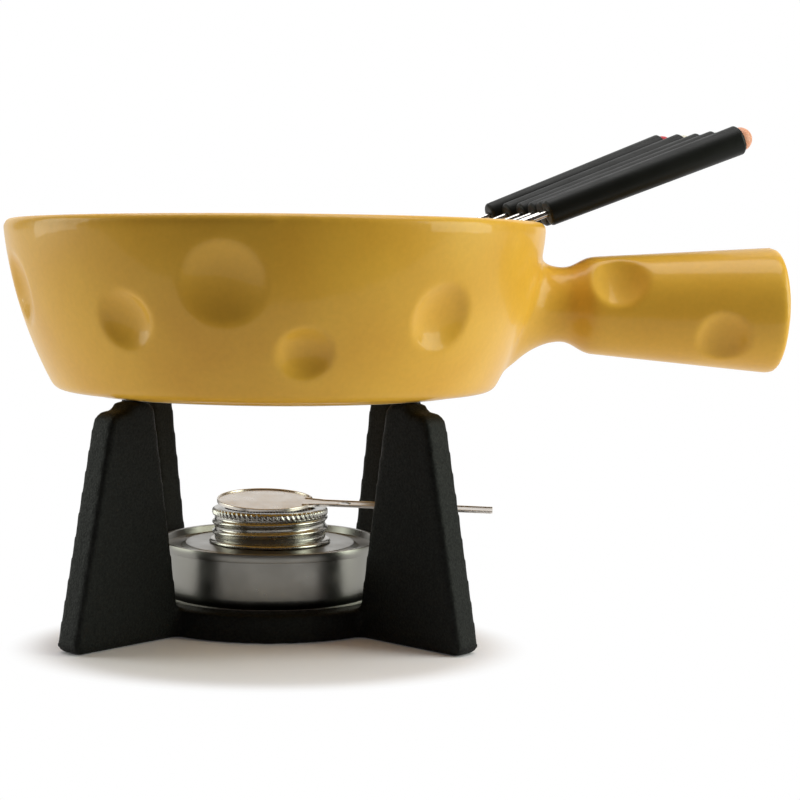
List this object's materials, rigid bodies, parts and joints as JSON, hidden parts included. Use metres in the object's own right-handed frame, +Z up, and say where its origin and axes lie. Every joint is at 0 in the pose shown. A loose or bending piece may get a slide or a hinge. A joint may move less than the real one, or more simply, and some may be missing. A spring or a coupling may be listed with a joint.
{
  "type": "fondue pot set",
  "caption": "Glazed fondue pot with one stout side handle on a four-legged cast-iron stand, with a spirit burner under it and forks leaning in the pot.",
  "frame": {"origin": "middle of the stand's flat underside, on the table", "axes": "+Z up, +X along the pot's handle, -Y to the front"},
  "size_m": [0.3307, 0.2296, 0.2142],
  "materials": {
    "black_cast_iron": "sand-cast, black enamel paint, satin",
    "amber_glaze": "gloss glaze over stoneware",
    "burner_steel": "spun and pressed, satin",
    "collar_steel": "rolled, nickel plated",
    "lid_steel": "pressed sheet, satin",
    "gauze_wire": "woven wire",
    "cotton_pad": "absorbent cotton",
    "fork_steel": "polished stainless",
    "black_handle": "moulded, satin",
    "fork_1_cap": "moulded, gloss",
    "fork_2_cap": "moulded, gloss",
    "fork_3_cap": "moulded, gloss",
    "fork_4_cap": "moulded, gloss",
    "fork_5_cap": "moulded, gloss",
    "fork_6_cap": "moulded, gloss"
  },
  "bodies": {
    "stand": {"stand": "black_cast_iron"},
    "burner": {"burner_pan": "burner_steel", "burner_top": "burner_steel", "wick_pad": "cotton_pad"},
    "gauze_holder": {"flame_gauze": "gauze_wire"},
    "collar": {"screw_collar": "collar_steel"},
    "lid": {"snuffer_lid": "lid_steel"},
    "pot": {"pot": "amber_glaze"},
    "fork_1": {"fork_1_rod": "fork_steel", "fork_1_grip": "black_handle", "fork_1_cap": "fork_1_cap"},
    "fork_2": {"fork_2_rod": "fork_steel", "fork_2_grip": "black_handle", "fork_2_cap": "fork_2_cap"},
    "fork_3": {"fork_3_rod": "fork_steel", "fork_3_grip": "black_handle", "fork_3_cap": "fork_3_cap"},
    "fork_4": {"fork_4_rod": "fork_steel", "fork_4_grip": "black_handle", "fork_4_cap": "fork_4_cap"},
    "fork_5": {"fork_5_rod": "fork_steel", "fork_5_grip": "black_handle", "fork_5_cap": "fork_5_cap"},
    "fork_6": {"fork_6_rod": "fork_steel", "fork_6_grip": "black_handle", "fork_6_cap": "fork_6_cap"}
  },
  "joints": [
    {"name": "pot_lift", "type": "slide", "parent": "stand", "child": "pot", "axis": [0, 0, 1], "range_m": [0, 0.12]},
    {"name": "burner_lift", "type": "slide", "parent": "stand", "child": "burner", "axis": [0, 0, 1], "range_m": [0, 0.036]},
    {"name": "collar_rise", "type": "slide", "parent": "burner", "child": "gauze_holder", "axis": [0, 0, 1], "range_m": [0, 0.0084]},
    {"name": "collar_turn", "type": "hinge", "parent": "gauze_holder", "child": "collar", "pos_m": [0, 0, 0.0396], "axis": [0, 0, 1], "range_deg": [0, 720]},
    {"name": "lid_lift", "type": "slide", "parent": "gauze_holder", "child": "lid", "axis": [0, 0, 1], "range_m": [0, 0.03]},
    {"name": "fork_1_pull", "type": "slide", "parent": "pot", "child": "fork_1", "axis": [0.9251, 0.117, 0.3611], "range_m": [0, 0.12]},
    {"name": "fork_2_pull", "type": "slide", "parent": "pot", "child": "fork_2", "axis": [0.9256, 0.1349, 0.3535], "range_m": [0, 0.12]},
    {"name": "fork_3_pull", "type": "slide", "parent": "pot", "child": "fork_3", "axis": [0.9208, 0.1528, 0.3589], "range_m": [0, 0.12]},
    {"name": "fork_4_pull", "type": "slide", "parent": "pot", "child": "fork_4", "axis": [0.918, 0.1707, 0.358], "range_m": [0, 0.12]},
    {"name": "fork_5_pull", "type": "slide", "parent": "pot", "child": "fork_5", "axis": [0.9127, 0.1886, 0.3625], "range_m": [0, 0.12]},
    {"name": "fork_6_pull", "type": "slide", "parent": "pot", "child": "fork_6", "axis": [0.9077, 0.2065, 0.3654], "range_m": [0, 0.12]}
  ],
  "couplings": [
    {"joint": "collar_turn", "follows": "collar_rise", "rad_per_m": 1496}
  ]
}
